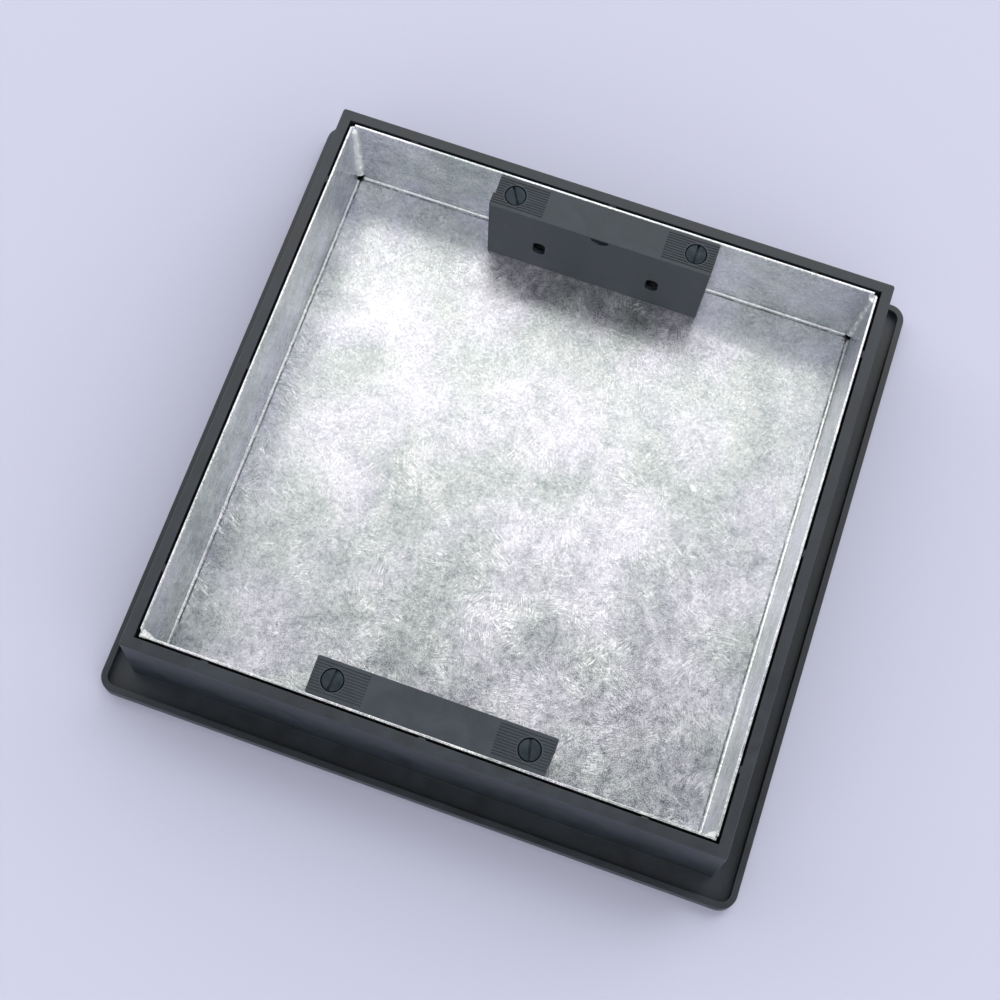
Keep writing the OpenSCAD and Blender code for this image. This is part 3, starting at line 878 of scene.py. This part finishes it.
def weld_zinc():
    """Zinc over a hand-laid weld: bright, lumpy and a little frosted."""
    made, tree, shader, here = new_material("galvanised_weld_zinc")
    # beads and drips of zinc a millimetre or two across
    frost = add(tree, "TexNoise", {"Vector": here, "Scale": per(1.6), "Detail": 5, "Roughness": 0.7})
    zinc = add(tree, "Mix", {0: frost.outputs[0], MIX_A: colour("#d3dade"), MIX_B: colour("#fdfefe")},
               data_type="RGBA")
    rough = add(tree, "MapRange", {"Value": frost.outputs[0], "To Min": 0.3, "To Max": 0.6})
    relief = add(tree, "Bump", {"Height": frost.outputs[0], "Strength": 0.8, "Distance": 0.3 * MM})
    tree.links.new(zinc.outputs[MIX_OUT], shader.inputs["Base Color"])
    tree.links.new(rough.outputs[0], shader.inputs["Roughness"])
    tree.links.new(relief.outputs[0], shader.inputs["Normal"])
    shader.inputs["Metallic"].default_value = 1
    return made


def turned_metal(name, dark, pale, matt):
    """A small turned, pressed or plated metal part: fine grain and slightly uneven polish."""
    made, tree, shader, here = new_material(name)
    # tool marks are finer than 0.1 mm, drawn at 0.6 mm so that they show
    grain = add(tree, "TexNoise", {"Vector": here, "Scale": per(0.6), "Detail": 4, "Roughness": 0.65})
    # worn and bright patches a few millimetres across
    cloud = add(tree, "TexNoise", {"Vector": here, "Scale": per(5), "Detail": 4})
    worn = add(tree, "MapRange", {"Value": cloud.outputs[0], "From Min": 0.35, "From Max": 0.65})
    tint = add(tree, "Mix", {0: worn.outputs[0], MIX_A: colour(dark), MIX_B: colour(pale)},
               data_type="RGBA")
    rough = add(tree, "MapRange", {"Value": grain.outputs[0], "From Min": 0.3, "From Max": 0.7,
                                   "To Min": matt - 0.06, "To Max": matt + 0.1})
    relief = add(tree, "Bump", {"Height": grain.outputs[0], "Strength": 0.4, "Distance": 0.05 * MM})
    tree.links.new(tint.outputs[MIX_OUT], shader.inputs["Base Color"])
    tree.links.new(rough.outputs[0], shader.inputs["Roughness"])
    tree.links.new(relief.outputs[0], shader.inputs["Normal"])
    shader.inputs["Metallic"].default_value = 1
    return made


def seal_rubber():
    """Extruded EPDM rubber: almost black, matt, with a faint bloom."""
    made, tree, shader, here = new_material("extruded_epdm_rubber")
    bloom = add(tree, "TexNoise", {"Vector": here, "Scale": per(7), "Detail": 5, "Roughness": 0.6})
    # the real pores are about 0.1 mm, drawn at 0.5 mm so that they show
    pores = add(tree, "TexNoise", {"Vector": here, "Scale": per(0.5), "Detail": 2})
    tint = add(tree, "Mix", {0: bloom.outputs[0], MIX_A: colour("#141516"), MIX_B: colour("#2a2b2d")},
               data_type="RGBA")
    relief = add(tree, "Bump", {"Height": pores.outputs[0], "Strength": 0.4, "Distance": 0.08 * MM})
    tree.links.new(tint.outputs[MIX_OUT], shader.inputs["Base Color"])
    tree.links.new(relief.outputs[0], shader.inputs["Normal"])
    shader.inputs["Roughness"].default_value = 0.72
    shader.inputs["IOR"].default_value = 1.52
    return made


def studio_floor():
    """Seamless pale lavender paper: matt, with barely visible fibres."""
    made, tree, shader, here = new_material("pale_lavender_paper")
    fibre = add(tree, "TexNoise", {"Vector": here, "Scale": per(3), "Detail": 2})
    tint = add(tree, "Mix", {0: fibre.outputs[0], MIX_A: colour("#afb2c8"), MIX_B: colour("#b1b4ca")},
               data_type="RGBA")
    tree.links.new(tint.outputs[MIX_OUT], shader.inputs["Base Color"])
    shader.inputs["Roughness"].default_value = 0.9
    shader.inputs["Specular IOR Level"].default_value = 0.1
    return made


def dress(piece, material):
    """Gives a piece its one material."""
    if piece.material_slots:
        for slot in piece.material_slots:
            slot.material = material
    else:
        piece.data.materials.append(material)


# ---------------------------------------------------------------- the object

frame_plastic = moulded_polypropylene("slate_moulded_polypropylene", "#131a22", "#1e2731", 0.42)
block_plastic = moulded_polypropylene("grey_moulded_polypropylene", "#1f2730", "#29333d", 0.5)
zinc_sheet = galvanised_steel()
screw_finish = turned_metal("dark_passivated_steel", "#2c343b", "#3a434a", 0.55)
zinc_plate = turned_metal("bright_zinc_plate", "#a9abae", "#d0d3d6", 0.3)
brass = turned_metal("turned_brass", "#b48a3a", "#dcbb66", 0.28)
aluminium = turned_metal("drawn_aluminium", "#c8cacd", "#e6e8ea", 0.35)
rubber = seal_rubber()
weld_finish = weld_zinc()


def finish_piece(piece, material, body, slot, *nodes):
    """Gives a modelled piece its finish, its body and the CAD nodes that it stands for."""
    dress(piece, material)
    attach(piece, body)
    if nodes:
        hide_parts(*nodes)


finish_piece(frame_moulding(), frame_plastic, "frame", "frame_polypropylene", "frame")
finish_piece(folded_tray(), zinc_sheet, "tray", "galvanised_steel", "tray")
for corner, piece in weld_beads().items():
    finish_piece(piece, weld_finish, "tray", "galvanised_steel")
for side, piece in key_blocks().items():
    finish_piece(piece, block_plastic, "tray", "block_polypropylene", "key_block_" + side)
for corner, piece in screws().items():
    finish_piece(piece, screw_finish, "screw_" + corner, "screw_steel", "lock_screw_" + corner)
for corner, piece in rivets().items():
    finish_piece(piece, aluminium, "tray", "rivet_aluminium", "rivet_" + corner)

dress(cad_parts["seal"], rubber)
for corner in CORNERS:
    dress(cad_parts["screw_washer_" + corner], zinc_plate)
    dress(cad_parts["o_ring_" + corner], rubber)
    dress(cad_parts["retaining_clip_" + corner], zinc_plate)
    dress(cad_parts["thread_insert_" + corner], brass)


# ---------------------------------------------------------------- floor, light and camera

def floor():
    """A sheet of paper so wide that its edge never shows, a hair below the frame's foot."""
    deselect()
    bpy.ops.mesh.primitive_plane_add(size=60, location=(0, 0, -0.2 * MM))
    piece = settle(bpy.context.object, "studio_floor")
    dress(piece, studio_floor())


def softbox(name, at, aim, size, power, tint):
    """A rectangular lamp that shines from one point towards another, its power in watts."""
    lamp = bpy.data.lights.new(name, "AREA")
    lamp.shape = "RECTANGLE"
    lamp.size = size[0]
    lamp.size_y = size[1]
    lamp.energy = power
    lamp.color = colour(tint)[:3]
    made = bpy.data.objects.new(name, lamp)
    bpy.context.scene.collection.objects.link(made)
    made.location = at
    made.rotation_mode = "QUATERNION"
    made.rotation_quaternion = (Vector(aim) - Vector(at)).to_track_quat("-Z", "Y")
    return made


def studio_light():
    """A studio sky, brightest over the far left and dim overhead, and one soft key lamp."""
    world = bpy.data.worlds.new("studio_air")
    bpy.context.scene.world = world
    world.use_nodes = True
    tree = world.node_tree
    tree.nodes.clear()
    way = add(tree, "TexCoord").outputs["Generated"]
    far_left = add(tree, "VectorMath", {0: way, 1: (-0.37, 0.93, 0)}, operation="DOT_PRODUCT")
    right = add(tree, "VectorMath", {0: way, 1: (0.93, 0.31, 0)}, operation="DOT_PRODUCT")
    # each band of the sky: towards what, where it begins and is full, its light before and after
    bands = (
        # dim overhead, bright over the far left
        (far_left, 0.1, 0.42, 0.13, 2.5),
        # less bright again low down
        (far_left, 0.55, 0.75, 0, -1),
        # behind the camera
        (far_left, -0.08, -0.4, 0, 1.3),
        # fainter on the right
        (right, 0.2, 0.38, 0, 0.6))
    level = None
    for lean, begins, full, before, after in bands:
        band = add(tree, "MapRange", {"Value": lean.outputs["Value"], "From Min": begins,
                                      "From Max": full, "To Min": before, "To Max": after},
                   interpolation_type="SMOOTHSTEP")
        if level is None:
            level = band
        else:
            level = add(tree, "Math", {0: level.outputs[0], 1: band.outputs[0]}, operation="ADD")
    # the brightest parts are a little warmer
    warmth = add(tree, "MapRange", {"Value": level.outputs[0], "From Min": 0.2, "From Max": 2})
    tint = add(tree, "Mix", {0: warmth.outputs[0], MIX_A: colour("#f6f8ff"), MIX_B: colour("#fffbf4")},
               data_type="RGBA")
    air = add(tree, "Background", {"Color": tint.outputs[MIX_OUT], "Strength": level.outputs[0]})
    add(tree, "OutputWorld", {"Surface": air.outputs[0]})
    key = softbox("far_softbox", at=(2.46, 5.46, 10.4), aim=(0, 0, 0), size=(3.2, 3.2), power=210,
                  tint="#fffdfb")
    # the sky alone shapes the reflections in the zinc
    key.visible_glossy = False


def camera():
    """Looks down over the near side, turned a little, as held by hand."""
    at = Vector((58.4, -272.0, 1011.7)) * MM
    heading, down, roll = math.radians(-15.23), math.radians(71.5), math.radians(4.07)
    forward = Vector((math.sin(heading) * math.cos(down), math.cos(heading) * math.cos(down),
                      -math.sin(down)))
    # sideways and upwards without the roll, then rolled about the view
    level = forward.cross(Vector((0, 0, 1))).normalized()
    above = level.cross(forward)
    right = math.cos(roll) * level + math.sin(roll) * above
    up = -math.sin(roll) * level + math.cos(roll) * above
    made = bpy.data.objects.new("camera", bpy.data.cameras.new("camera"))
    bpy.context.scene.collection.objects.link(made)
    made.data.lens = 60.96
    made.data.sensor_width = 36
    made.data.shift_y = -0.1
    made.data.clip_start = 0.05
    made.data.clip_end = 20
    made.matrix_world = Matrix.Translation(at) @ Matrix((right, up, -forward)).transposed().to_4x4()
    bpy.context.scene.camera = made


floor()
studio_light()
camera()
bpy.context.scene.view_settings.view_transform = "Standard"
